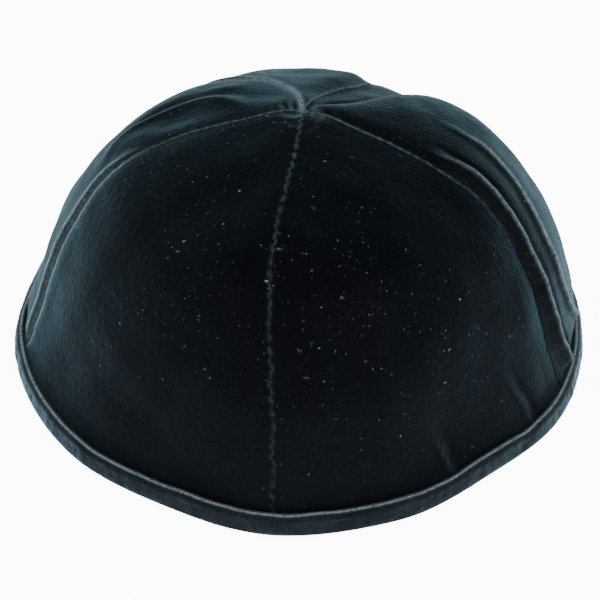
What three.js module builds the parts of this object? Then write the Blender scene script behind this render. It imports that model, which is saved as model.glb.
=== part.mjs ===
// A brimless six-gore velvet skullcap that stands on its bound rim.
// Millimetres, +Z up. The origin is the middle of the rim, on the surface that it rests on,
// and the front seam starts at -Y. Azimuths turn from -Y towards +X.

import * as THREE from 'three';

// Driving sizes, in millimetres.
const EDGE_RADIUS = 87.2; // outside of the velvet at its cut lower edge
const CROWN_HEIGHT = 70.4; // top of the crown, before the middle is drawn in
const VELVET = 1.8; // wall of a gore, with its backing
const BINDING_HEIGHT = 5.4; // top of the rim binding above the ground
const BINDING_CLOTH = 1.4; // wall of the folded binding
const BINDING_PADDING = 0.5; // how far the binding swells halfway up
const FOOT_ROUND = 0.6; // height of the binding's rounded lower corner
const SEAM_GAP = 0.3; // between the cut sides of two gores
const CLEARANCE = 0.3; // between the velvet and the binding around it
const TIP_RADIUS = 2; // the gores' tips end this far from the axis
const SEAM_DIP = 0.8; // depth of the stitched line
const SEAM_DIP_SPREAD = 1.8; // how far from the stitched line the cloth has risen again

// How finely the cloth is divided.
const GORE_COLUMNS = 16;
const GORE_ROWS = 19;
const BINDING_SIDES = 96;
const EVEN_COLUMNS = 0.5; // share of even spacing, the rest crowds towards the seams

// The dome along a seam, from the cut edge to the middle of the crown.
// reach is a share of EDGE_RADIUS, rise a share of the height from the cut edge to the crown.
const PROFILE = [
  { reach: 1, rise: 0 },
  { reach: 0.92, rise: 0.2 },
  { reach: 0.81, rise: 0.48 },
  { reach: 0.63, rise: 0.75 },
  { reach: 0.4, rise: 0.88 },
  { reach: 0.18, rise: 0.95 },
  { reach: 0, rise: 1 },
];

// Each seam's azimuth in degrees at the rim and at the crown, how far it bows aside on the
// shoulder, and the soft hollow along it there, in shares of EDGE_RADIUS.
const SEAMS = {
  front: { rim: 0, crown: 0, bow: -4, hollow: 0, hollowSpread: 0.1 },
  right_front: { rim: 65, crown: 73, bow: 0, hollow: 0, hollowSpread: 0.1 },
  right_back: { rim: 120, crown: 120, bow: 15, hollow: 0, hollowSpread: 0.08 },
  back: { rim: 180, crown: 170, bow: -16, hollow: 0.02, hollowSpread: 0.05 },
  left_back: { rim: 240, crown: 190, bow: 10, hollow: 0, hollowSpread: 0.06 },
  left_front: { rim: 293, crown: 278, bow: -3, hollow: 0, hollowSpread: 0.1 },
};

// Each gore lies between two seams. low and high are how far its middle swells out of the
// dome near the rim and on the shoulder, in shares of EDGE_RADIUS.
const GORES = [
  { name: 'panel_front_right', from: 'front', to: 'right_front', low: -0.02, high: -0.02 },
  { name: 'panel_right', from: 'right_front', to: 'right_back', low: 0.04, high: 0.03 },
  { name: 'panel_back_right', from: 'right_back', to: 'back', low: 0, high: -0.04 },
  { name: 'panel_back_left', from: 'back', to: 'left_back', low: 0, high: 0 },
  { name: 'panel_left', from: 'left_back', to: 'left_front', low: 0.02, high: 0 },
  { name: 'panel_front_left', from: 'left_front', to: 'front', low: -0.02, high: -0.02 },
];

// Where up the dome a gore swells low and high, as shares of the way from rim to crown.
const LOW_SWELL = { at: 0.22, spread: 0.2 };
const HIGH_SWELL = { at: 0.6, spread: 0.25 };
const SWELL_FLATNESS = 2.2; // power that rounds a swelling across the gore

// How far the soft rim wanders out of its circle at each azimuth in degrees, in shares of
// EDGE_RADIUS, and the height, in the same shares, at which the dome no longer follows it.
const RIM_SWAY = [
  { azimuth: 0, out: 0.01 },
  { azimuth: 20, out: -0.005 },
  { azimuth: 40, out: -0.03 },
  { azimuth: 60, out: -0.005 },
  { azimuth: 90, out: -0.01 },
  { azimuth: 140, out: -0.01 },
  { azimuth: 180, out: 0.01 },
  { azimuth: 225, out: -0.005 },
  { azimuth: 270, out: -0.01 },
  { azimuth: 290, out: 0.01 },
  { azimuth: 320, out: 0.005 },
  { azimuth: 340, out: -0.01 },
];
const SWAY_TOP = 0.5;

// Soft ridges and grooves. start and end are shares of the way from rim to crown. path holds
// the ridge's places across the gore at its start, halfway and at its end. height and spread
// are shares of EDGE_RADIUS, and a groove has a negative height.
const FOLDS = [
  { gore: 'panel_right', start: 0, end: 0.68, path: [0.11, 0.04, 0.1], height: 0.025, spread: 0.025 },
  { gore: 'panel_right', start: 0, end: 0.68, path: [0.17, 0.1, 0.16], height: -0.01, spread: 0.015 },
  { gore: 'panel_right', start: 0, end: 0.66, path: [0.42, 0.2, 0.48], height: 0.015, spread: 0.02 },
  { gore: 'panel_left', start: 0, end: 0.6, path: [0.96, 0.96, 0.96], height: 0.01, spread: 0.015 },
  { gore: 'panel_left', start: 0.45, end: 0.85, path: [0.9, 0.55, 0.75], height: 0.01, spread: 0.035 },
  { gore: 'panel_left', start: 0.45, end: 0.85, path: [0.75, 0.4, 0.55], height: -0.01, spread: 0.04 },
  { gore: 'panel_back_right', start: 0.5, end: 0.96, path: [0.1, 0.15, 0.25], height: -0.02, spread: 0.03 },
  { gore: 'panel_back_left', start: 0.5, end: 0.96, path: [0.95, 0.95, 0.93], height: 0.005, spread: 0.015 },
];
const FOLD_FADE = 0.12; // share of the way up over which a fold runs out
const BINDING_RELEASE = 0.05; // share of the way up over which the cloth leaves the binding

// The middle of the crown is drawn in by the six stitched tips, in shares of EDGE_RADIUS.
const DIMPLE = { depth: 0.012, spread: 0.07 };

// The cut edge leans with the dome, so its inner corner hangs lower than its outer one.
const RIM_LEAN = Math.atan2(
  EDGE_RADIUS * (PROFILE[0].reach - PROFILE[1].reach),
  CROWN_HEIGHT * (PROFILE[1].rise - PROFILE[0].rise),
);
const EDGE_LIFT = BINDING_CLOTH + CLEARANCE + (VELVET + CLEARANCE) * Math.sin(RIM_LEAN);
const BINDING_OUTER = CLEARANCE + BINDING_CLOTH;
const BINDING_INNER = -(VELVET + CLEARANCE + BINDING_CLOTH);

const velvetMaterial = new THREE.MeshStandardMaterial({ color: 0x10161d, roughness: 0.95, metalness: 0 });
const bindingMaterial = new THREE.MeshStandardMaterial({ color: 0x141b22, roughness: 0.9, metalness: 0 });

function smooth(value) {
  const t = THREE.MathUtils.clamp(value, 0, 1);
  return t * t * (3 - 2 * t);
}

function bell(distance, spread) {
  return Math.exp(-((distance / spread) ** 2));
}

// A smooth curve through one column of the profile. It runs straight on below the rim, and
// beyond the crown it comes down again as a mirror image.
function profileColumn(key, share, mirrorSign) {
  const last = PROFILE.length - 1;
  const at = THREE.MathUtils.clamp(share, 0, 1) * last;
  const row = Math.min(Math.floor(at), last - 1);
  const t = at - row;
  const value = (index) => {
    if (index < 0) return 2 * PROFILE[0][key] - PROFILE[1][key];
    if (index > last) return mirrorSign * PROFILE[last - 1][key];
    return PROFILE[index][key];
  };
  const [a, b, c, d] = [row - 1, row, row + 1, row + 2].map(value);
  const square = 2 * a - 5 * b + 4 * c - d;
  const cube = -a + 3 * b - 3 * c + d;
  return {
    value: 0.5 * (2 * b + (c - a) * t + square * t * t + cube * t * t * t),
    slope: 0.5 * (c - a + 2 * square * t + 3 * cube * t * t),
  };
}

// A point of the dome's section, with the outward normal in that section.
function meridian(share) {
  const reach = profileColumn('reach', share, -1);
  const rise = profileColumn('rise', share, 1);
  const height = CROWN_HEIGHT - EDGE_LIFT;
  const along = new THREE.Vector2(EDGE_RADIUS * reach.slope, height * rise.slope).normalize();
  return {
    radius: EDGE_RADIUS * reach.value,
    z: EDGE_LIFT + height * rise.value,
    along,
    normal: new THREE.Vector2(along.y, -along.x),
  };
}

// The share of the way up at which a measure of the section reaches a target.
function shareWhere(measure, target) {
  let low = 0;
  let high = 1;
  const rising = measure(1) > measure(0);
  for (let step = 0; step < 40; step += 1) {
    const middle = (low + high) / 2;
    if (measure(middle) < target === rising) low = middle;
    else high = middle;
  }
  return (low + high) / 2;
}

const bindingTop = shareWhere(
  (share) => meridian(share).z,
  BINDING_HEIGHT - BINDING_OUTER * Math.sin(RIM_LEAN),
);
const goreTip = shareWhere((share) => meridian(share).radius, TIP_RADIUS);

function seamAzimuth(seam, share) {
  const straight = THREE.MathUtils.lerp(seam.rim, seam.crown, smooth(share));
  return THREE.MathUtils.degToRad(straight + seam.bow * bell(share - HIGH_SWELL.at, HIGH_SWELL.spread));
}

// How far a point moves out from the axis because the soft rim isn't a true circle.
function sway(azimuth, z) {
  const turn = THREE.MathUtils.euclideanModulo(THREE.MathUtils.radToDeg(azimuth), 360);
  const before = RIM_SWAY.findLastIndex((stop) => stop.azimuth <= turn);
  const from = RIM_SWAY[before];
  const to = RIM_SWAY[(before + 1) % RIM_SWAY.length];
  const span = THREE.MathUtils.euclideanModulo(to.azimuth - from.azimuth, 360);
  const out = THREE.MathUtils.lerp(from.out, to.out, smooth((turn - from.azimuth) / span));
  return EDGE_RADIUS * out * smooth(1 - (z - BINDING_HEIGHT) / (EDGE_RADIUS * SWAY_TOP));
}

// The two seams' azimuths beside a gore, the second always the larger.
function goreAzimuths(gore, share) {
  const first = seamAzimuth(SEAMS[gore.from], share);
  const second = seamAzimuth(SEAMS[gore.to], share);
  return { first, second: second < first ? second + 2 * Math.PI : second };
}

function swelling(gore, across, share) {
  const rounding = 1 - Math.abs(2 * across - 1) ** SWELL_FLATNESS;
  const low = gore.low * bell(share - LOW_SWELL.at, LOW_SWELL.spread);
  const high = gore.high * bell(share - HIGH_SWELL.at, HIGH_SWELL.spread);
  return EDGE_RADIUS * rounding * (low + high);
}

function foldHeight(fold, across, share, width) {
  const way = THREE.MathUtils.clamp((share - fold.start) / (fold.end - fold.start), 0, 1);
  const [atStart, halfway, atEnd] = fold.path;
  const place =
    atStart * (1 - way) * (1 - 2 * way) + halfway * 4 * way * (1 - way) + atEnd * way * (2 * way - 1);
  const foot = fold.start > 0 ? smooth((share - fold.start) / FOLD_FADE) : 1;
  const head = smooth((fold.end - share) / FOLD_FADE);
  const distance = (across - place) * width;
  return EDGE_RADIUS * fold.height * foot * head * bell(distance, EDGE_RADIUS * fold.spread);
}

function seamHollow(seam, distance, share) {
  const soft = EDGE_RADIUS * seam.hollow * bell(distance, EDGE_RADIUS * seam.hollowSpread);
  return soft * bell(share - HIGH_SWELL.at, HIGH_SWELL.spread) + SEAM_DIP * bell(distance, SEAM_DIP_SPREAD);
}

// How far the cloth stands out of the plain dome.
function relief(gore, across, share, width) {
  const folds = FOLDS.filter((fold) => fold.gore === gore.name)
    .map((fold) => foldHeight(fold, across, share, width))
    .reduce((sum, height) => sum + height, 0);
  const hollows =
    seamHollow(SEAMS[gore.from], across * width, share) +
    seamHollow(SEAMS[gore.to], (1 - across) * width, share);
  const free = smooth((share - bindingTop) / BINDING_RELEASE);
  return free * (swelling(gore, across, share) + folds - hollows);
}

// A point of a gore, inset from its outer face. across runs from one seam to the next, and the
// half gap is kept beside each seam, so that two neighbours' cut sides lie parallel.
function gorePoint(gore, across, share, inset) {
  const section = meridian(share);
  const { first, second } = goreAzimuths(gore, share);
  const width = (second - first) * section.radius;
  const out = relief(gore, across, share, width) - inset;
  const radius = section.radius + out * section.normal.x;
  const halfGap = SEAM_GAP / 2 / radius;
  const azimuth = THREE.MathUtils.lerp(first + halfGap, second - halfGap, across);
  const sunk = EDGE_RADIUS * DIMPLE.depth * bell(section.radius, EDGE_RADIUS * DIMPLE.spread);
  const z = section.z + out * section.normal.y - sunk;
  const reach = radius + sway(azimuth, z);
  return new THREE.Vector3(reach * Math.sin(azimuth), -reach * Math.cos(azimuth), z);
}

function columnPlace(column) {
  const even = column / GORE_COLUMNS;
  const crowded = (1 - Math.cos(Math.PI * even)) / 2;
  return THREE.MathUtils.lerp(crowded, even, EVEN_COLUMNS);
}

// The first row is the cut edge, the second the top of the binding.
function rowShare(row) {
  if (row === 0) return 0;
  return THREE.MathUtils.lerp(bindingTop, goreTip, (row - 1) / (GORE_ROWS - 1));
}

// A closed shell: the outer face, the inner face and the cut edge all round.
function goreGeometry(gore) {
  const points = [];
  const triangles = [];
  for (const inset of [0, VELVET]) {
    for (let row = 0; row <= GORE_ROWS; row += 1) {
      for (let column = 0; column <= GORE_COLUMNS; column += 1) {
        points.push(gorePoint(gore, columnPlace(column), rowShare(row), inset));
      }
    }
  }
  const faceSize = (GORE_ROWS + 1) * (GORE_COLUMNS + 1);
  const outer = (column, row) => row * (GORE_COLUMNS + 1) + column;
  const inner = (column, row) => faceSize + outer(column, row);
  const quad = (a, b, c, d) => triangles.push(a, b, c, a, c, d);
  const [lastColumn, lastRow] = [GORE_COLUMNS, GORE_ROWS];
  for (let row = 0; row < GORE_ROWS; row += 1) {
    for (let column = 0; column < GORE_COLUMNS; column += 1) {
      const [right, up] = [column + 1, row + 1];
      quad(outer(column, row), outer(right, row), outer(right, up), outer(column, up));
      quad(inner(column, row), inner(column, up), inner(right, up), inner(right, row));
    }
    const up = row + 1;
    quad(inner(0, row), outer(0, row), outer(0, up), inner(0, up));
    quad(outer(lastColumn, row), inner(lastColumn, row), inner(lastColumn, up), outer(lastColumn, up));
  }
  for (let column = 0; column < GORE_COLUMNS; column += 1) {
    const right = column + 1;
    quad(inner(column, 0), inner(right, 0), outer(right, 0), outer(column, 0));
    quad(outer(column, lastRow), outer(right, lastRow), inner(right, lastRow), inner(column, lastRow));
  }
  const geometry = new THREE.BufferGeometry().setFromPoints(points);
  geometry.setIndex(triangles);
  geometry.computeVertexNormals();
  return geometry;
}

// A point of the binding's section, beside the velvet that it wraps.
function bindingPoint(share, offset) {
  const section = meridian(share * bindingTop);
  return new THREE.Vector2(section.radius, section.z).addScaledVector(section.normal, offset);
}

// The same face carried straight down along the leaning wall.
function bindingFoot(offset, z) {
  const start = bindingPoint(0, offset);
  const { along } = meridian(0);
  return start.addScaledVector(along, (z - start.y) / along.y);
}

// A strip of cloth folded round the cut edge, open at the top for the velvet.
function bindingGeometry() {
  const outerFoot = bindingFoot(BINDING_OUTER, FOOT_ROUND);
  const innerFoot = bindingFoot(BINDING_INNER, 0);
  const section = [
    new THREE.Vector2(innerFoot.x, 0),
    new THREE.Vector2(outerFoot.x - FOOT_ROUND, 0),
    outerFoot,
    bindingPoint(0, BINDING_OUTER + BINDING_PADDING),
    bindingPoint(0.6, BINDING_OUTER + BINDING_PADDING),
    bindingPoint(1, BINDING_OUTER),
    bindingPoint(1, CLEARANCE),
    bindingFoot(CLEARANCE, bindingPoint(0, CLEARANCE).y - CLEARANCE),
    bindingFoot(-VELVET - CLEARANCE, BINDING_CLOTH),
    bindingPoint(1, -VELVET - CLEARANCE),
    bindingPoint(1, BINDING_INNER),
  ];
  section.push(section[0].clone());
  const geometry = new THREE.LatheGeometry(section, BINDING_SIDES);
  geometry.rotateX(Math.PI / 2);
  const places = geometry.getAttribute('position');
  for (let index = 0; index < places.count; index += 1) {
    const [x, y, z] = [places.getX(index), places.getY(index), places.getZ(index)];
    const stretch = 1 + sway(Math.atan2(x, -y), z) / Math.hypot(x, y);
    places.setXY(index, x * stretch, y * stretch);
  }
  geometry.computeVertexNormals();
  return geometry;
}

function namedMesh(name, geometry, material) {
  const mesh = new THREE.Mesh(geometry, material);
  mesh.name = name;
  return mesh;
}

const skullcap = new THREE.Group();
for (const gore of GORES) {
  skullcap.add(namedMesh(gore.name, goreGeometry(gore), velvetMaterial));
}
skullcap.add(namedMesh('rim_binding', bindingGeometry(), bindingMaterial));

export default skullcap;
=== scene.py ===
"""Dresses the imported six-gore skullcap in velvet. Metres, +Z up.

The front seam starts at -Y, and azimuths turn from there towards +X.
"""

import math

import bpy
import numpy as np
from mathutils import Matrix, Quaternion, Vector


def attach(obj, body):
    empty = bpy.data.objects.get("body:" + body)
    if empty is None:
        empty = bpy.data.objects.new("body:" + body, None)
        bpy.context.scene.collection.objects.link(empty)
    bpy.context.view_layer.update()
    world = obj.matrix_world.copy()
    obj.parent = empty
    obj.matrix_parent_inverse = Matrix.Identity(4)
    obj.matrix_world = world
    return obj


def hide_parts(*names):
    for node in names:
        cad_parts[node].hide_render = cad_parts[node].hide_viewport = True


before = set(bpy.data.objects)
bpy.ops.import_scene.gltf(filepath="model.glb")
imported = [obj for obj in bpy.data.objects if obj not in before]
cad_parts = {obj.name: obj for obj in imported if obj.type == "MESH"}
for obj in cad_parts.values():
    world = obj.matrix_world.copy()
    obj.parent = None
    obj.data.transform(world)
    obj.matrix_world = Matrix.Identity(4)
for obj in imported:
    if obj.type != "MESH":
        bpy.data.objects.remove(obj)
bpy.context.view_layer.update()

MM = 0.001

# The cap's driving sizes, the same as in the part's source.
EDGE_RADIUS = 87.2 * MM
CROWN_HEIGHT = 70.4 * MM
VELVET = 1.8 * MM
BINDING_HEIGHT = 5.4 * MM
BINDING_CLOTH = 1.4 * MM
BINDING_PADDING = 0.5 * MM
FOOT_ROUND = 0.6 * MM
CLEARANCE = 0.3 * MM

# The dome along a seam: reach as a share of EDGE_RADIUS, rise as a share of the height.
PROFILE = np.array(
    [(1, 0), (0.92, 0.2), (0.81, 0.48), (0.63, 0.75), (0.4, 0.88), (0.18, 0.95), (0, 1)]
)
REACH, RISE = 0, 1


def seam(rim, crown, bow, hollow, spread, broken, light, line, roll=0.6 * MM):
    """A seam: its azimuth in degrees at the rim and at the crown, how far it bows aside on the
    shoulder, and the depth and spread of the soft hollow along it, in shares of EDGE_RADIUS.

    broken is how much the stitches break up its line of light, which is painted sheen where the pile
    opens, light that line's strength at the rim and at the crown, line its half width, and roll how far
    the cloth rolls in.
    """
    return {
        "rim": rim, "crown": crown, "bow": bow, "hollow": hollow, "spread": spread,
        "broken": broken, "light": light, "line": line, "roll": roll,
    }


SEAMS = {
    "front": seam(0, 0, -4, 0, 0.1, broken=1.0, light=(0.09, 0.34), line=0.55 * MM, roll=0.22 * MM),
    "right_front": seam(65, 73, 0, 0, 0.1, broken=0.4, light=(-0.4, 1.0), line=0.3 * MM),
    "right_back": seam(120, 120, 15, 0, 0.08, broken=0.6, light=(0.5, 0.7), line=0.3 * MM),
    "back": seam(180, 170, -16, 0.02, 0.05, broken=0.6, light=(0.6, 0.9), line=0.34 * MM),
    "left_back": seam(240, 190, 10, 0, 0.06, broken=0.4, light=(0.6, 1.4), line=1.0 * MM),
    "left_front": seam(293, 278, -3, 0, 0.1, broken=0.4, light=(0.5, 0.8), line=0.34 * MM),
}

# Each gore: the seams beside it, and how far it swells low and high, in shares of EDGE_RADIUS.
GORES = [
    {"name": "panel_front_right", "from": "front", "to": "right_front", "low": -0.02, "high": -0.02},
    {"name": "panel_right", "from": "right_front", "to": "right_back", "low": 0.04, "high": 0.03},
    {"name": "panel_back_right", "from": "right_back", "to": "back", "low": 0, "high": -0.04},
    {"name": "panel_back_left", "from": "back", "to": "left_back", "low": 0, "high": 0},
    {"name": "panel_left", "from": "left_back", "to": "left_front", "low": 0.02, "high": 0},
    {"name": "panel_front_left", "from": "left_front", "to": "front", "low": -0.02, "high": -0.02},
]

# Where up the dome a gore swells low and high, as shares of the way from rim to crown.
LOW_SWELL = {"at": 0.22, "spread": 0.2}
HIGH_SWELL = {"at": 0.6, "spread": 0.25}
SWELL_FLATNESS = 2.2  # power that rounds a swelling across the gore


def fold(gore, start, end, places, height, spread, lit=0.0, aside=0.0, sheen_band=0.0, beside=-4.5 * MM):
    """A soft ridge or groove between two shares of the way up. places are across the gore at
    its foot, middle and head. height and spread are shares of EDGE_RADIUS, and a groove has a
    negative height.

    lit is how far the pile opens in a line along the ridge, a line also painted with sheen,
    and aside that line's place from the crest. The next two say the same of a wide band of painted sheen.
    """
    return {
        "gore": gore, "start": start, "end": end, "places": places, "height": height,
        "spread": spread, "lit": lit, "aside": aside, "sheen_band": sheen_band, "beside": beside,
    }


# The long folds are the source's own. Added here are the short creases above the binding and
# the painted light along the brink of the left front seam, a line and band of painted sheen.
FOLDS = [
    fold("panel_right", 0, 0.68, (0.11, 0.04, 0.1), 0.025, 0.025, lit=0.7, sheen_band=0.04),
    fold("panel_right", 0, 0.68, (0.17, 0.1, 0.16), -0.01, 0.015),
    fold("panel_right", 0, 0.66, (0.42, 0.2, 0.48), 0.015, 0.02, lit=1.1, aside=-0.5 * MM, sheen_band=0.07),
    fold(
        "panel_left", 0, 0.6, (0.96, 0.96, 0.96), 0.01, 0.015,
        lit=1.2, aside=0.2 * MM, sheen_band=0.2, beside=2.5 * MM,
    ),
    fold("panel_left", 0.45, 0.85, (0.9, 0.55, 0.75), 0.01, 0.035, lit=0.25),
    fold("panel_left", 0.45, 0.85, (0.75, 0.4, 0.55), -0.01, 0.04),
    fold("panel_back_right", 0.5, 0.96, (0.1, 0.15, 0.25), -0.02, 0.03),
    fold("panel_back_left", 0.5, 0.96, (0.95, 0.95, 0.93), 0.005, 0.015, lit=0.7),
    fold(
        "panel_front_left", 0, 0.62, (0.014, 0.014, 0.018), 0, 0.01,
        lit=1.0, sheen_band=0.12, beside=-1 * MM,
    ),
    fold("panel_front_right", 0, 0.2, (0.51, 0.49, 0.45), 0.005, 0.013, lit=0.1),
    fold("panel_front_right", 0, 0.2, (0.54, 0.52, 0.48), -0.006, 0.013),
    fold("panel_front_right", 0, 0.24, (0.82, 0.8, 0.75), 0.004, 0.013, lit=0.08),
    fold("panel_front_right", 0, 0.24, (0.85, 0.83, 0.78), -0.005, 0.013),
]
FOLD_FADE = 0.12  # share of the way up over which a fold runs out
CREST = {"share": 0.2, "spread": 1.3 * MM}  # the sharper top of a ridge, a share of its height
CREST_SHEEN_LINE = 0.5 * MM  # half width of the line along a ridge in which the pile opens and sheen is painted
SHEEN_BAND_SPREAD = 4 * MM  # half width of the band of painted sheen beside it

# How far the rim wanders out of its circle at each azimuth in degrees, in shares of
# EDGE_RADIUS, and the height, in the same shares, at which the dome no longer follows it.
RIM_SWAY = np.array(
    [
        (0, 0.01), (20, -0.005), (40, -0.03), (60, -0.005), (90, -0.01), (140, -0.01),
        (180, 0.01), (225, -0.005), (270, -0.01), (290, 0.01), (320, 0.005), (340, -0.01),
    ]
)
SWAY_TOP = 0.5
BINDING_RELEASE = 0.05  # share of the way up over which the cloth leaves the binding

# The six stitched tips draw in the middle of the crown, in shares of EDGE_RADIUS, and the
# knot draws it in further. The pile opens in lumps around the knot, which are painted sheen as well.
DIMPLE = {"depth": 0.012, "spread": 0.07}
KNOT = {"depth": 0.3 * MM, "spread": 1.6 * MM, "lit": 0.6, "lit_spread": 5.5 * MM}
KNOT_LUMPS = [(0.8, 6 * MM)]  # strength and length of the lumps
KNOT_EVENNESS = 0.35  # strength between the lumps

# The sewn seams: the cloth rolls into the stitched line and puckers beside each stitch. The
# allowances lie inside, and foot is the share of the way up over which they thicken.
SEAM_VALLEY = {"depth": 0.4 * MM, "spread": 2.6 * MM}
SEAM_WOBBLE = math.radians(0.18)  # how far the sewn line strays
ROLL_LIMIT = 0.3  # a roll is never more than this share of the gore's width
PUCKER = {"height": 0.1 * MM, "beside": 0.9 * MM, "spread": 0.9 * MM, "pitch": 3.1 * MM}
PUCKER_ROOM = 12 * MM  # a gore narrower than this puckers less
SEAM_ALLOWANCE = {"width": 7 * MM, "thickness": 0.5 * MM, "edge": 0.6 * MM, "foot": 0.03}

# Slow unevenness of the cloth: height and length of its waves, and how far from a seam they
# have reached their full height.
SOFT_WAVES = [(0.35 * MM, 38 * MM), (0.12 * MM, 15 * MM)]
CALM_BESIDE_SEAM = 9 * MM

# How finely the cloth is divided. The columns crowd towards the seams, apart from the even
# share of their spacing.
GORE_COLUMNS = 150
GORE_ROWS = 156
EVEN_COLUMNS = 0.25
BINDING_SIDES = 720
BINDING_RING = 96
CURVE_STEPS = 12


def smooth(value):
    t = np.clip(value, 0, 1)
    return t * t * (3 - 2 * t)


def bell(distance, spread):
    return np.exp(-((distance / spread) ** 2))


def lerp(start, end, share):
    return start + (end - start) * share


def smooth_curve(a, b, c, d, t):
    """The value and slope at t of a curve from b to c, which lies between a and d."""
    square = 2 * a - 5 * b + 4 * c - d
    cube = -a + 3 * b - 3 * c + d
    value = 0.5 * (2 * b + (c - a) * t + square * t**2 + cube * t**3)
    slope = 0.5 * (c - a + 2 * square * t + 3 * cube * t**2)
    return value, slope


def profile_column(column, share, mirror_sign):
    """A smooth curve through one column of the profile, and its slope.

    It runs straight on below the rim, and beyond the crown it comes down as a mirror image.
    """
    points = PROFILE[:, column]
    last = len(points) - 1
    below = 2 * points[0] - points[1]
    beyond = mirror_sign * points[-2]
    points = np.concatenate([[below], points, [beyond]])
    at = np.clip(share, 0, 1) * last
    row = np.minimum(np.floor(at).astype(int), last - 1)
    a, b, c, d = (points[row + step] for step in range(4))
    return smooth_curve(a, b, c, d, at - row)


RIM_LEAN = math.atan2(
    EDGE_RADIUS * (PROFILE[0, REACH] - PROFILE[1, REACH]),
    CROWN_HEIGHT * (PROFILE[1, RISE] - PROFILE[0, RISE]),
)
EDGE_LIFT = BINDING_CLOTH + CLEARANCE + (VELVET + CLEARANCE) * math.sin(RIM_LEAN)
BINDING_OUTER = CLEARANCE + BINDING_CLOTH
BINDING_INNER = -(VELVET + CLEARANCE + BINDING_CLOTH)


def meridian(share):
    """Radius and height of the dome's section, and its outward normal."""
    reach, reach_slope = profile_column(REACH, share, -1)
    rise, rise_slope = profile_column(RISE, share, 1)
    height = CROWN_HEIGHT - EDGE_LIFT
    run, climb = EDGE_RADIUS * reach_slope, height * rise_slope
    length = np.hypot(run, climb)
    return EDGE_RADIUS * reach, EDGE_LIFT + height * rise, climb / length, -run / length


# The section's length from the cut edge, as a table to read from both ways.
SHARE_TABLE = np.linspace(0, 1, 2001)
RADIUS_TABLE, HEIGHT_TABLE, _, _ = meridian(SHARE_TABLE)
LENGTH_TABLE = np.concatenate(
    [[0], np.cumsum(np.hypot(np.diff(RADIUS_TABLE), np.diff(HEIGHT_TABLE)))]
)
BINDING_TOP = float(
    np.interp(BINDING_HEIGHT - BINDING_OUTER * math.sin(RIM_LEAN), HEIGHT_TABLE, SHARE_TABLE)
)
TIP_RADIUS = 0.03 * MM  # the cloths end this far from the axis, so that the crown is closed
GORE_TIP = float(np.interp(TIP_RADIUS, RADIUS_TABLE[::-1], SHARE_TABLE[::-1]))


def seam_azimuth(seam, share):
    straight = lerp(seam["rim"], seam["crown"], smooth(share))
    bowed = straight + seam["bow"] * bell(share - HIGH_SWELL["at"], HIGH_SWELL["spread"])
    wobble = np.sin(57 * share + seam["rim"]) + 0.6 * np.sin(131 * share + 2 * seam["rim"])
    return np.radians(bowed) + SEAM_WOBBLE * wobble


def sway(azimuth, z):
    """How far a point moves out from the axis because the soft rim isn't a true circle."""
    stops, outs = RIM_SWAY[:, 0], RIM_SWAY[:, 1]
    turn = np.degrees(azimuth) % 360
    before = np.searchsorted(stops, turn, side="right") - 1
    after = (before + 1) % len(stops)
    share = (turn - stops[before]) / ((stops[after] - stops[before]) % 360)
    out = lerp(outs[before], outs[after], smooth(share))
    return EDGE_RADIUS * out * smooth(1 - (z - BINDING_HEIGHT) / (EDGE_RADIUS * SWAY_TOP))


def from_axis(radius, azimuth, z):
    """A point at a radius and azimuth, moved with the rim's sway."""
    reach = radius + sway(azimuth, z)
    return np.stack([reach * np.sin(azimuth), -reach * np.cos(azimuth), z + 0 * azimuth], axis=-1)


def crown_dip(radius):
    """How far the stitched tips and the knot draw the crown down."""
    dimple = EDGE_RADIUS * DIMPLE["depth"] * bell(radius, EDGE_RADIUS * DIMPLE["spread"])
    return dimple + KNOT["depth"] * bell(radius, KNOT["spread"])


def waves(x, y, sizes, seed):
    """Uneven soft waves over cloth, each a sum of six sines in seeded directions."""
    random = np.random.default_rng(seed)
    total = np.zeros_like(x)
    for height, length in sizes:
        for _ in range(6):
            angle, phase = random.uniform(0, 2 * math.pi, 2)
            turns = random.uniform(0.7, 1.4) / length
            along = x * math.cos(angle) + y * math.sin(angle)
            total += height / 2.4 * np.sin(2 * math.pi * turns * along + phase)
    return total


def fold_shape(item, across, share, width):
    """A fold's height at each point, and how far the pile opens along a ridge, where sheen is painted."""
    way = np.clip((share - item["start"]) / (item["end"] - item["start"]), 0, 1)
    foot, middle, head = item["places"]
    place = foot * (1 - way) * (1 - 2 * way) + middle * 4 * way * (1 - way)
    place = place + head * way * (2 * way - 1)
    rising = smooth((share - item["start"]) / FOLD_FADE) if item["start"] > 0 else 1
    ending = smooth((item["end"] - share) / FOLD_FADE)
    distance = (across - place) * width
    height = EDGE_RADIUS * item["height"] * rising * ending
    shape = bell(distance, EDGE_RADIUS * item["spread"])
    if item["height"] < 0:
        return height * shape, 0 * shape
    crest = CREST["share"] * bell(distance, CREST["spread"])
    line = item["lit"] * bell(distance - item["aside"], CREST_SHEEN_LINE)
    band = item["sheen_band"] * bell(distance - item["beside"], SHEEN_BAND_SPREAD)
    return height * (shape + crest), rising * ending * np.maximum(line, band)


def swelling(gore, across, share):
    rounding = 1 - np.abs(2 * across - 1) ** SWELL_FLATNESS
    low = gore["low"] * bell(share - LOW_SWELL["at"], LOW_SWELL["spread"])
    high = gore["high"] * bell(share - HIGH_SWELL["at"], HIGH_SWELL["spread"])
    return EDGE_RADIUS * rounding * (low + high)


def seam_hollow(seam, distance, share):
    soft = EDGE_RADIUS * seam["hollow"] * bell(distance, EDGE_RADIUS * seam["spread"])
    valley = SEAM_VALLEY["depth"] * bell(distance, SEAM_VALLEY["spread"])
    return soft * bell(share - HIGH_SWELL["at"], HIGH_SWELL["spread"]) + valley


def seam_roll(seam, distance, width):
    """How far the pile side has turned down into the seam, a quarter circle deep."""
    radius = np.minimum(seam["roll"], ROLL_LIMIT * width)
    inside = np.clip(1 - distance / radius, 0, 1)
    return radius * (1 - np.sqrt(1 - inside**2))


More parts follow.
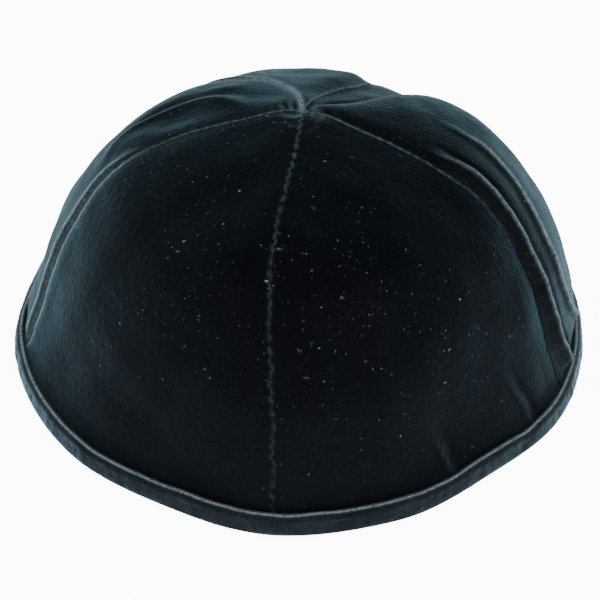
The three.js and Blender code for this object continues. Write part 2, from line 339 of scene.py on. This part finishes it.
def seam_pucker(seam, distance, length, share, side):
    """The cloth's rise beside each stitch, and how far the pile opens there in a line of painted sheen.

    The sines make the puckers' strength and spacing change slowly along the seam.
    """
    phase = 2 * math.pi * length / PUCKER["pitch"] + side * 1.1
    seed = seam["rim"]
    uneven = 0.6 + 0.3 * np.sin(phase * 0.23 + seed) + 0.2 * np.sin(phase * 0.41 + 2 * seed)
    swing = np.cos(phase + 1.1 * np.sin(phase * 0.17 + side)) * uneven
    rise = PUCKER["height"] * swing * bell(distance - PUCKER["beside"], PUCKER["spread"])
    dark = seam["broken"] * np.clip(0.5 - 1.1 * swing, 0, 1)
    light = np.maximum(lerp(*seam["light"], smooth(share)), 0) * (1 - dark)
    return rise, light * bell(distance, seam["line"])


def gore_points(index, across, share, outside):
    """Points of a gore's pile side, or of its inner side with the seam allowances, and how
    far the pile is open at each, together with the painted sheen laid there."""
    gore = GORES[index]
    first_seam, second_seam = SEAMS[gore["from"]], SEAMS[gore["to"]]
    radius, z, out_radius, out_z = meridian(share)
    first, second = seam_azimuth(first_seam, share), seam_azimuth(second_seam, share)
    second = np.where(second < first, second + 2 * math.pi, second)
    width = (second - first) * radius
    length = np.interp(share, SHARE_TABLE, LENGTH_TABLE)
    near, far = across * width, (1 - across) * width
    edge = np.minimum(near, far)

    relief = swelling(gore, across, share)
    pile_and_sheen = np.zeros_like(share)
    for item in FOLDS:
        if item["gore"] == gore["name"]:
            height, crest = fold_shape(item, across, share, width)
            relief = relief + height
            pile_and_sheen = np.maximum(pile_and_sheen, crest)
    relief = relief - seam_hollow(first_seam, near, share) - seam_hollow(second_seam, far, share)
    calm = smooth(edge / CALM_BESIDE_SEAM)
    relief = relief + waves((across - 0.5) * width, length, SOFT_WAVES, index) * calm
    out = relief * smooth((share - BINDING_TOP) / BINDING_RELEASE)
    if outside:
        for beside, distance, side in ((first_seam, near, 1), (second_seam, far, -1)):
            rise, light = seam_pucker(beside, distance, length, share, side)
            out = out - seam_roll(beside, distance, width) + rise * smooth(width / PUCKER_ROOM)
            pile_and_sheen = np.maximum(pile_and_sheen, light)
    else:
        allowance = smooth((SEAM_ALLOWANCE["width"] - edge) / SEAM_ALLOWANCE["edge"])
        allowance = allowance * smooth(share / SEAM_ALLOWANCE["foot"])
        out = out - VELVET - SEAM_ALLOWANCE["thickness"] * allowance

    sunk = crown_dip(radius)
    lumps = np.maximum(KNOT_EVENNESS + waves(across * width, length, KNOT_LUMPS, index), 0)
    pile_and_sheen = np.maximum(pile_and_sheen, KNOT["lit"] * lumps * bell(radius, KNOT["lit_spread"]))
    radius = radius + out * out_radius
    azimuth = lerp(first, second, across)
    return from_axis(radius, azimuth, z + out * out_z - sunk), pile_and_sheen


def make_object(name, points, faces, materials, face_materials=None, pile_and_sheen=None):
    mesh = bpy.data.meshes.new(name)
    mesh.from_pydata(points.reshape(-1, 3).tolist(), [], faces.tolist())
    for material in materials:
        mesh.materials.append(material)
    if face_materials is not None:
        mesh.polygons.foreach_set("material_index", face_materials)
    if pile_and_sheen is not None:
        pile = mesh.attributes.new("pile_open_sheen", "FLOAT", "POINT")
        pile.data.foreach_set("value", pile_and_sheen.ravel())
    mesh.shade_smooth()
    mesh.update()
    piece = bpy.data.objects.new(name, mesh)
    bpy.context.scene.collection.objects.link(piece)
    return piece


def grid_quads(rows, columns, start=0, flip=False):
    """Faces of a grid of points, rows x columns of quads."""
    row, column = np.meshgrid(np.arange(rows), np.arange(columns), indexing="ij")
    corner = start + row * (columns + 1) + column
    quads = np.stack([corner, corner + 1, corner + columns + 2, corner + columns + 1], axis=-1)
    quads = quads.reshape(-1, 4)
    return quads[:, ::-1] if flip else quads


def build_gore(index, pile, backing):
    even = np.linspace(0, 1, GORE_COLUMNS + 1)
    columns = lerp((1 - np.cos(math.pi * even)) / 2, even, EVEN_COLUMNS)
    rows = np.linspace(0, GORE_TIP, GORE_ROWS + 1)
    share, across = np.meshgrid(rows, columns, indexing="ij")
    outer, outer_pile_and_sheen = gore_points(index, across, share, True)
    inner, _ = gore_points(index, across, share, False)
    count = (GORE_ROWS + 1) * (GORE_COLUMNS + 1)
    outer_faces = grid_quads(GORE_ROWS, GORE_COLUMNS)
    inner_faces = grid_quads(GORE_ROWS, GORE_COLUMNS, count, True)
    border = np.arange(count).reshape(GORE_ROWS + 1, GORE_COLUMNS + 1)
    around = np.concatenate(
        [border[0, :-1], border[:-1, -1], border[-1, :0:-1], border[:0:-1, 0]]
    )
    following = np.roll(around, -1)
    side_faces = np.stack([around, around + count, following + count, following], axis=-1)
    faces = np.concatenate([outer_faces, inner_faces, side_faces])
    slots = np.zeros(len(faces), dtype=np.int32)
    slots[len(outer_faces) :] = 1
    name = GORES[index]["name"] + "_cloth"
    points = np.stack([outer, inner])
    pile_and_sheen = np.stack([outer_pile_and_sheen, 0 * outer_pile_and_sheen])
    return make_object(name, points, faces, [pile, backing], slots, pile_and_sheen)


def binding_point(share, offset):
    radius, z, out_radius, out_z = meridian(share * BINDING_TOP)
    return np.array([radius + offset * out_radius, z + offset * out_z])


def binding_foot(offset, z):
    """The same face carried straight down along the leaning wall."""
    start = binding_point(0, offset)
    return np.array([start[0] + (start[1] - z) * math.tan(RIM_LEAN), z])


def closed_curve(points, count):
    """Evenly spaced points of a smooth closed curve through the given ones."""
    points = np.array(points)
    steps = np.linspace(0, 1, CURVE_STEPS, endpoint=False)[:, None]
    dense = []
    for index in range(len(points)):
        a, b, c, d = (points[(index + step) % len(points)] for step in (-1, 0, 1, 2))
        dense.append(smooth_curve(a, b, c, d, steps)[0])
    dense = np.concatenate(dense)
    dense = np.concatenate([dense, dense[:1]])
    length = np.concatenate([[0], np.cumsum(np.linalg.norm(np.diff(dense, axis=0), axis=1))])
    wanted = np.linspace(0, length[-1], count, endpoint=False)
    return np.stack([np.interp(wanted, length, dense[:, axis]) for axis in (0, 1)], axis=-1)


def binding_section():
    """The folded strip's section, open at the top for the velvet."""
    outer_foot = binding_foot(BINDING_OUTER, FOOT_ROUND)
    inner_foot = binding_foot(BINDING_INNER, FOOT_ROUND)
    middle = (outer_foot + inner_foot) / 2
    swell = BINDING_OUTER + BINDING_PADDING
    return closed_curve(
        [
            inner_foot,
            (inner_foot[0] + 0.7 * MM, 0),
            (middle[0], 0),
            (outer_foot[0] - 0.9 * MM, 0),
            (outer_foot[0] + 0.1 * MM, FOOT_ROUND),
            binding_point(0, swell + 0.1 * MM),
            binding_point(0.45, swell + 0.15 * MM),
            binding_point(0.85, swell - 0.25 * MM),
            binding_point(1.0, BINDING_OUTER - 0.55 * MM),
            binding_point(0.97, CLEARANCE + 0.05 * MM),
            binding_point(0.6, CLEARANCE),
            binding_foot(CLEARANCE, binding_point(0, CLEARANCE)[1] - 0.4 * MM),
            binding_foot(-(VELVET + CLEARANCE) / 2, BINDING_CLOTH),
            binding_foot(-VELVET - CLEARANCE, BINDING_CLOTH + 0.3 * MM),
            binding_point(0.6, -VELVET - CLEARANCE),
            binding_point(0.95, -VELVET - CLEARANCE - 0.1 * MM),
            binding_point(1.0, -VELVET - CLEARANCE - BINDING_CLOTH / 2),
            binding_point(0.9, BINDING_INNER),
            binding_point(0.4, BINDING_INNER - 0.1 * MM),
        ],
        BINDING_RING,
    )


# Where the binding's top edge is drawn down by a crease above it: azimuth in degrees, depth,
# and half width in degrees.
BINDING_DENTS = [(31.5, 0.7 * MM, 2.6), (51.0, 0.6 * MM, 2.4), (-24, 0.25 * MM, 4)]

# The folded strip's unevenness: the height of its waves, and how many of each go round the rim.
TOP_EDGE_WAVES = {"height": 0.42 * MM, "counts": (13, 22, 31, 47), "seed": 5}
LONG_SIDE_WAVES = {"height": 0.3 * MM, "counts": (17, 29, 41, 67), "seed": 8}
SHORT_SIDE_WAVES = {"height": 0.16 * MM, "counts": (96, 131, 173), "seed": 9}

# The binding swells where a seam's allowances run under it, with a half width in degrees, and
# its pile opens along its upper edge in a line of painted sheen.
SEAM_LUMP = {"height": 0.35 * MM, "spread": 1.8}
EDGE_SHEEN_LINE = {"strength": 0.85, "inset": 0.2 * MM, "spread": 0.36 * MM}


def degrees_from(azimuth, centre):
    """The turn from a centre in degrees to an azimuth, between -180 and 180."""
    return (np.degrees(azimuth) - centre + 180) % 360 - 180


def around_waves(azimuth, height, counts, seed):
    random = np.random.default_rng(seed)
    total = np.zeros_like(azimuth)
    for count in counts:
        total += height / len(counts) * np.sin(count * azimuth + random.uniform(0, 2 * math.pi))
    return total


def build_binding(material):
    section = binding_section()
    azimuth = np.linspace(0, 2 * math.pi, BINDING_SIDES, endpoint=False)[:, None]
    radius, z = section[:, 0][None, :], section[:, 1][None, :]
    top = BINDING_HEIGHT
    wall_middle = binding_point(0.5, -VELVET / 2)[0]
    outside = smooth((radius - wall_middle) / (1.5 * MM))
    upper = smooth((z - 0.25 * top) / (0.7 * top))
    bulge = smooth(z / (0.35 * top)) * smooth((top - z) / (0.5 * top))
    lift = around_waves(azimuth, **TOP_EDGE_WAVES)
    for centre, depth, spread in BINDING_DENTS:
        lift = lift - depth * bell(degrees_from(azimuth, centre), spread)
    push = around_waves(azimuth, **LONG_SIDE_WAVES) + around_waves(azimuth, **SHORT_SIDE_WAVES)
    for seam in SEAMS.values():
        push = push + SEAM_LUMP["height"] * bell(degrees_from(azimuth, seam["rim"]), SEAM_LUMP["spread"])
    lift = lift * outside * upper
    push = push * outside * bulge
    points = from_axis(radius + push, azimuth, z + lift)
    brink = binding_point(1.0, BINDING_OUTER - EDGE_SHEEN_LINE["inset"])
    from_brink = np.hypot(radius - brink[0], z - brink[1])
    pile_and_sheen = EDGE_SHEEN_LINE["strength"] * bell(from_brink, EDGE_SHEEN_LINE["spread"]) + 0 * azimuth
    index = np.arange(BINDING_SIDES * BINDING_RING).reshape(BINDING_SIDES, BINDING_RING)
    right, up = np.roll(index, -1, axis=0), np.roll(index, -1, axis=1)
    corner = np.roll(right, -1, axis=1)
    faces = np.stack([index, right, corner, up], axis=-1).reshape(-1, 4)
    return make_object("rim_binding_cloth", points, faces, [material], pile_and_sheen=pile_and_sheen)


# Thread that shows in the seams: one short slanted stitch in each pucker.
STITCH = {"length": 1.9 * MM, "thickness": 0.3 * MM, "slant": 0.3 * MM, "sunk": 0.95 * MM}
STITCH_SIDES = 6
STITCH_RINGS = 6


def seam_line(seam, length, side):
    """A point in the bottom of a seam at a length from the cut edge, and its outward normal."""
    share = np.interp(length, LENGTH_TABLE, SHARE_TABLE)
    radius, z, out_radius, out_z = meridian(share)
    out = -seam_hollow(seam, 0, share) - STITCH["sunk"]
    azimuth = seam_azimuth(seam, share) + side / radius
    point = from_axis(radius + out * out_radius, azimuth, z + out * out_z - crown_dip(radius))
    normal = np.array([out_radius * math.sin(azimuth), -out_radius * math.cos(azimuth), out_z])
    return point, normal


def stitch_ring(seam, centre, way):
    """A ring of points round a stitch, way from -0.5 at its start to 0.5 at its end."""
    aside = way * STITCH["slant"]
    spot, normal = seam_line(seam, centre + way * STITCH["length"], aside)
    ahead, _ = seam_line(seam, centre + (way + 0.1) * STITCH["length"], aside)
    along = (ahead - spot) / np.linalg.norm(ahead - spot)
    side = np.cross(along, normal)
    arch = 1 - (2 * way) ** 2
    spot = spot + normal * (arch - 0.6) * STITCH["thickness"]
    thickness = STITCH["thickness"] / 2 * (0.35 + 0.65 * math.sqrt(arch))
    angles = np.linspace(0, 2 * math.pi, STITCH_SIDES, endpoint=False)
    return [spot + thickness * (math.cos(angle) * side + math.sin(angle) * normal) for angle in angles]


def build_stitches(material):
    """The thread of all six seams, as one piece."""
    points, faces = [], []
    start = np.interp(BINDING_TOP, SHARE_TABLE, LENGTH_TABLE) + 2 * MM
    stop = LENGTH_TABLE[-1] - 4 * MM
    for seam in SEAMS.values():
        for centre in np.arange(start, stop, PUCKER["pitch"]):
            base = len(points)
            for ring in range(STITCH_RINGS + 1):
                points.extend(stitch_ring(seam, centre, ring / STITCH_RINGS - 0.5))
            for ring in range(STITCH_RINGS):
                for step in range(STITCH_SIDES):
                    a = base + ring * STITCH_SIDES + step
                    b = base + ring * STITCH_SIDES + (step + 1) % STITCH_SIDES
                    faces.append((a, b, b + STITCH_SIDES, a + STITCH_SIDES))
    return make_object("seam_stitches", np.array(points), np.array(faces), [material])


class Nodes:
    """Builds one material's node tree around its Principled shader."""

    def __init__(self, name):
        self.material = bpy.data.materials.new(name)
        self.material.use_nodes = True
        self.tree = self.material.node_tree
        self.shader = self.tree.nodes["Principled BSDF"]
        self.place = self.add("ShaderNodeTexCoord").outputs["Object"]
        self.height = self.add("ShaderNodeSeparateXYZ", {"Vector": self.place}).outputs[2]

    def add(self, kind, links=None, **values):
        node = self.tree.nodes.new(kind)
        for key, value in values.items():
            setattr(node, key, value)
        for socket, source in (links or {}).items():
            self.put(node.inputs[socket], source)
        return node

    def put(self, socket, source):
        if isinstance(source, bpy.types.NodeSocket):
            self.tree.links.new(source, socket)
        else:
            socket.default_value = source

    def stretched(self, scale):
        return self.add("ShaderNodeMapping", {"Vector": self.place, "Scale": scale}).outputs[0]

    def noise(self, scale, detail=2.0, roughness=0.5, vector=None):
        links = {"Vector": vector or self.place, "Scale": scale, "Detail": detail, "Roughness": roughness}
        return self.add("ShaderNodeTexNoise", links).outputs[0]

    def math(self, operation, first, second=0.0):
        return self.add("ShaderNodeMath", {0: first, 1: second}, operation=operation).outputs[0]

    def ramp(self, value, low, high):
        """The value's share of the way from low to high, kept between 0 and 1."""
        return self.add(
            "ShaderNodeMapRange", {"Value": value, "From Min": low, "From Max": high}
        ).outputs[0]

    def mix(self, share, first, second):
        """Two colours mixed, through the Mix node's colour sockets."""
        node = self.add("ShaderNodeMix", data_type="RGBA")
        self.put(node.inputs[0], share)
        self.put(node.inputs[6], first)
        self.put(node.inputs[7], second)
        return node.outputs[2]

    def bump(self, height, distance, strength=1.0, below=None):
        links = {"Height": height, "Distance": distance, "Strength": strength}
        if below is not None:
            links["Normal"] = below
        return self.add("ShaderNodeBump", links).outputs[0]

    def shade(self, **values):
        for key, source in values.items():
            self.put(self.shader.inputs[key.replace("_", " ")], source)


# Lint: each kind has one speck to a cell, less the share that rarity leaves out. It lies in
# patches, and a stretch below 1 makes its specks long that way.
LINT = [
    {"cell": 3.2 * MM, "size": 0.36 * MM, "rarity": 0.0, "patch_scale": 34.0, "stretch": (1, 1, 1)},
    {"cell": 1.3 * MM, "size": 0.24 * MM, "rarity": 0.1, "patch_scale": 24.0, "stretch": (1, 1, 1)},
    {"cell": 3.0 * MM, "size": 0.36 * MM, "rarity": 0.2, "patch_scale": 26.0, "stretch": (0.35, 1, 1.2)},
]
LINT_COLOUR = (0.062, 0.076, 0.088, 1)
BROWN_STREAK = (0.0026, 0.0021, 0.002, 1)
BETWEEN_FIBRES = (0.0002, 0.0003, 0.0004, 1)
FLOOR_GLOW = (0.08, 0.1, 0.125, 1)  # the white ground's light on the lowest cloth


def lint(nodes, cell, size, rarity, patch_scale, stretch):
    """Small pale specks scattered over the pile, up to 1 inside the brightest."""
    warp = nodes.add("ShaderNodeTexNoise", {"Vector": nodes.place, "Scale": 700.0}).outputs[1]
    shift = nodes.add("ShaderNodeVectorMath", {0: warp, "Scale": 0.0016}, operation="SCALE").outputs[0]
    bent = nodes.add("ShaderNodeVectorMath", {0: nodes.place, 1: shift}, operation="ADD").outputs[0]
    bent = nodes.add("ShaderNodeMapping", {"Vector": bent, "Scale": stretch}).outputs[0]
    cells = nodes.add("ShaderNodeTexVoronoi", {"Vector": bent, "Scale": 1 / cell})
    inside = nodes.ramp(cells.outputs["Distance"], size / cell, size / cell * 0.3)
    chances = nodes.add("ShaderNodeSeparateColor", {"Color": cells.outputs["Color"]}).outputs
    brightness = nodes.math("POWER", nodes.ramp(chances[0], rarity, 1.0), 4.0)
    patchy = nodes.ramp(nodes.noise(patch_scale, 1.0), 0.3, 0.55)
    upper = nodes.ramp(nodes.height, -0.005, 0.055)
    spread = nodes.math("MULTIPLY", patchy, upper)
    return nodes.math("MULTIPLY", nodes.math("MULTIPLY", inside, brightness), spread)


def velvet_material(name, dark, worn, pile_sheen_colour, sheen, tint):
    """Crushed velvet pile, which shows the open colour, opened pile with painted sheen, where a mesh's
    attribute says so.
    """
    nodes = Nodes(name)
    patches = nodes.ramp(nodes.noise(38.0, 3.0), 0.35, 0.7)
    streaks = nodes.ramp(nodes.noise(95.0, 2.0, vector=nodes.stretched((1, 1, 0.12))), 0.5, 0.75)
    pile = nodes.noise(2100.0, 3.0, 0.65)
    colour = nodes.mix(nodes.math("MULTIPLY", patches, 0.7), dark, worn)
    colour = nodes.mix(nodes.math("MULTIPLY", streaks, 0.3), colour, BROWN_STREAK)
    colour = nodes.mix(nodes.ramp(pile, 0.35, 0.75), BETWEEN_FIBRES, colour)
    round_specks, small_specks, long_specks = (lint(nodes, **kind) for kind in LINT)
    fluff = nodes.math("MAXIMUM", nodes.math("MAXIMUM", round_specks, small_specks), long_specks)
    colour = nodes.mix(fluff, colour, LINT_COLOUR)
    low = nodes.ramp(nodes.height, 0.03, 0.006)
    colour = nodes.mix(nodes.math("MULTIPLY", low, 0.008), colour, FLOOR_GLOW)
    # Opened pile and painted sheen: the open colour laid in lines along seams, fold crests and the
    # binding's edge, and in lumps round the knot.
    pile_and_sheen = nodes.add("ShaderNodeAttribute", attribute_name="pile_open_sheen").outputs["Fac"]
    ragged = nodes.ramp(nodes.noise(1300.0, 2.0), 0.2, 0.55)
    colour = nodes.mix(nodes.math("MULTIPLY", pile_and_sheen, ragged), colour, pile_sheen_colour)
    crushed = nodes.bump(nodes.noise(170.0, 3.0, 0.6), 0.45 * MM, 0.5)
    tufts = nodes.bump(nodes.noise(620.0, 2.0), 0.4 * MM, 0.6, crushed)
    fibres = nodes.bump(pile, 0.25 * MM, 0.8, tufts)
    nodes.shade(
        Base_Color=colour,
        Roughness=0.95,
        Specular_IOR_Level=0.02,
        Sheen_Weight=sheen,
        Sheen_Roughness=0.34,
        Sheen_Tint=tint,
        Normal=fibres,
    )
    return nodes.material


def backing_material():
    """The velvet's woven back, which shows inside the cap."""
    nodes = Nodes("velvet_backing")
    threads = [
        nodes.add(
            "ShaderNodeTexWave",
            {"Vector": nodes.place, "Scale": 260.0, "Distortion": 4.0, "Detail": 2.0},
            bands_direction=direction,
        ).outputs[1]
        for direction in ("DIAGONAL", "Z")
    ]
    weave = nodes.math("MULTIPLY", threads[0], threads[1])
    patches = nodes.ramp(nodes.noise(55.0, 2.0), 0.35, 0.7)
    colour = nodes.mix(patches, (0.009, 0.0115, 0.015, 1), (0.016, 0.0195, 0.0245, 1))
    colour = nodes.mix(nodes.math("MULTIPLY", weave, 0.2), colour, (0.035, 0.041, 0.05, 1))
    nodes.shade(
        Base_Color=colour,
        Roughness=0.88,
        Specular_IOR_Level=0.25,
        Sheen_Weight=0.15,
        Sheen_Roughness=0.5,
        Normal=nodes.bump(weave, 0.08 * MM, 0.3),
    )
    return nodes.material


def thread_material():
    """Dark twisted sewing thread."""
    nodes = Nodes("seam_thread")
    twist = nodes.add(
        "ShaderNodeTexWave",
        {"Vector": nodes.place, "Scale": 900.0, "Distortion": 0.6},
        bands_direction="DIAGONAL",
    ).outputs[1]
    fuzz = nodes.noise(1500.0, 2.0)
    colour = nodes.mix(fuzz, (0.008, 0.011, 0.014, 1), (0.025, 0.031, 0.036, 1))
    nodes.shade(
        Base_Color=colour,
        Roughness=0.7,
        Sheen_Weight=0.3,
        Sheen_Roughness=0.34,
        Normal=nodes.bump(twist, 0.08 * MM, 0.6),
    )
    return nodes.material


def floor_material():
    """The photo's white ground, which gives off light of its own so that it stays white."""
    nodes = Nodes("pale_floor")
    tone = nodes.mix(nodes.noise(6.0, 2.0), (0.9, 0.9, 0.905, 1), (0.93, 0.93, 0.935, 1))
    nodes.shade(
        Base_Color=tone,
        Roughness=0.8,
        Specular_IOR_Level=0.1,
        Emission_Color=(1, 1, 1, 1),
        Emission_Strength=9.0,
    )
    return nodes.material


def add_camera():
    """The photograph's view: from the front, a little to the right, and above."""
    distance, azimuth, elevation = 0.288, math.radians(4.72), math.radians(41.06)
    reach, height = distance * math.cos(elevation), distance * math.sin(elevation)
    place = Vector((reach * math.sin(azimuth), -reach * math.cos(azimuth), height))
    data = bpy.data.cameras.new("camera")
    data.sensor_fit = "HORIZONTAL"
    data.sensor_width = 36.0
    data.lens = 52.75
    data.shift_x = -0.003
    data.shift_y = -0.0038
    data.clip_start = 0.01
    camera = bpy.data.objects.new("camera", data)
    camera.location = place
    roll = Quaternion((0, 0, 1), math.radians(0.35))
    camera.rotation_mode = "QUATERNION"
    camera.rotation_quaternion = (-place).to_track_quat("-Z", "Y") @ roll
    bpy.context.scene.collection.objects.link(camera)
    bpy.context.scene.camera = camera


def add_area_light(name, place, target, size, power, colour):
    data = bpy.data.lights.new(name, "AREA")
    data.shape = "DISK"
    data.size = size
    data.energy = power
    data.color = colour
    light = bpy.data.objects.new(name, data)
    light.location = place
    light.rotation_mode = "QUATERNION"
    light.rotation_quaternion = (Vector(target) - Vector(place)).to_track_quat("-Z", "Y")
    bpy.context.scene.collection.objects.link(light)


def add_studio():
    """The white ground, a white world and five soft lights."""
    half = 3.0
    corners = np.array([(-half, -half, 0), (half, -half, 0), (half, half, 0), (-half, half, 0)], float)
    floor = make_object("floor", corners, np.array([(0, 1, 2, 3)]), [floor_material()])
    world = bpy.data.worlds.new("studio")
    world.use_nodes = True
    background = world.node_tree.nodes["Background"]
    background.inputs["Color"].default_value = (1.0, 1.0, 1.0, 1)
    background.inputs["Strength"].default_value = 2.0
    bpy.context.scene.world = world
    crown = (0, 0, 0.04)
    add_area_light("back_softbox", (-0.25, 0.75, 0.95), crown, 0.9, 5, (0.95, 0.98, 1.0))
    add_area_light("left_softbox", (-1.0, 0.15, 0.4), crown, 0.7, 9, (0.97, 0.99, 1.0))
    add_area_light("right_softbox", (1.0, 0.25, 0.45), crown, 0.7, 8, (0.97, 0.99, 1.0))
    add_area_light("top_softbox", (0.1, -0.1, 1.3), crown, 1.2, 14, (1.0, 1.0, 1.0))
    add_area_light("front_fill", (0.3, -1.2, 0.4), crown, 0.9, 7, (1.0, 0.98, 0.96))


pile = velvet_material(
    "velvet_pile",
    dark=(0.0004, 0.0004, 0.0012, 1),
    worn=(0.0009, 0.0011, 0.0022, 1),
    pile_sheen_colour=(0.045, 0.066, 0.075, 1),
    sheen=0.09,
    tint=(0.28, 0.69, 0.9, 1),
)
# The binding is the cap's velvet, its colours painted lighter than the cap's as painted light from the
# white ground below.
painted_lit_binding = velvet_material(
    "painted_lit_binding",
    dark=(0.0018, 0.003, 0.004, 1),
    worn=(0.0085, 0.0102, 0.0135, 1),
    pile_sheen_colour=(0.1, 0.125, 0.135, 1),
    sheen=0.16,
    tint=(0.36, 0.74, 0.95, 1),
)
backing = backing_material()

for index, gore in enumerate(GORES):
    piece = build_gore(index, pile, backing)
    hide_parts(gore["name"])
    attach(piece, "root")

binding = build_binding(painted_lit_binding)
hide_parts("rim_binding")
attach(binding, "root")

stitches = build_stitches(thread_material())
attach(stitches, "root")

add_studio()
add_camera()
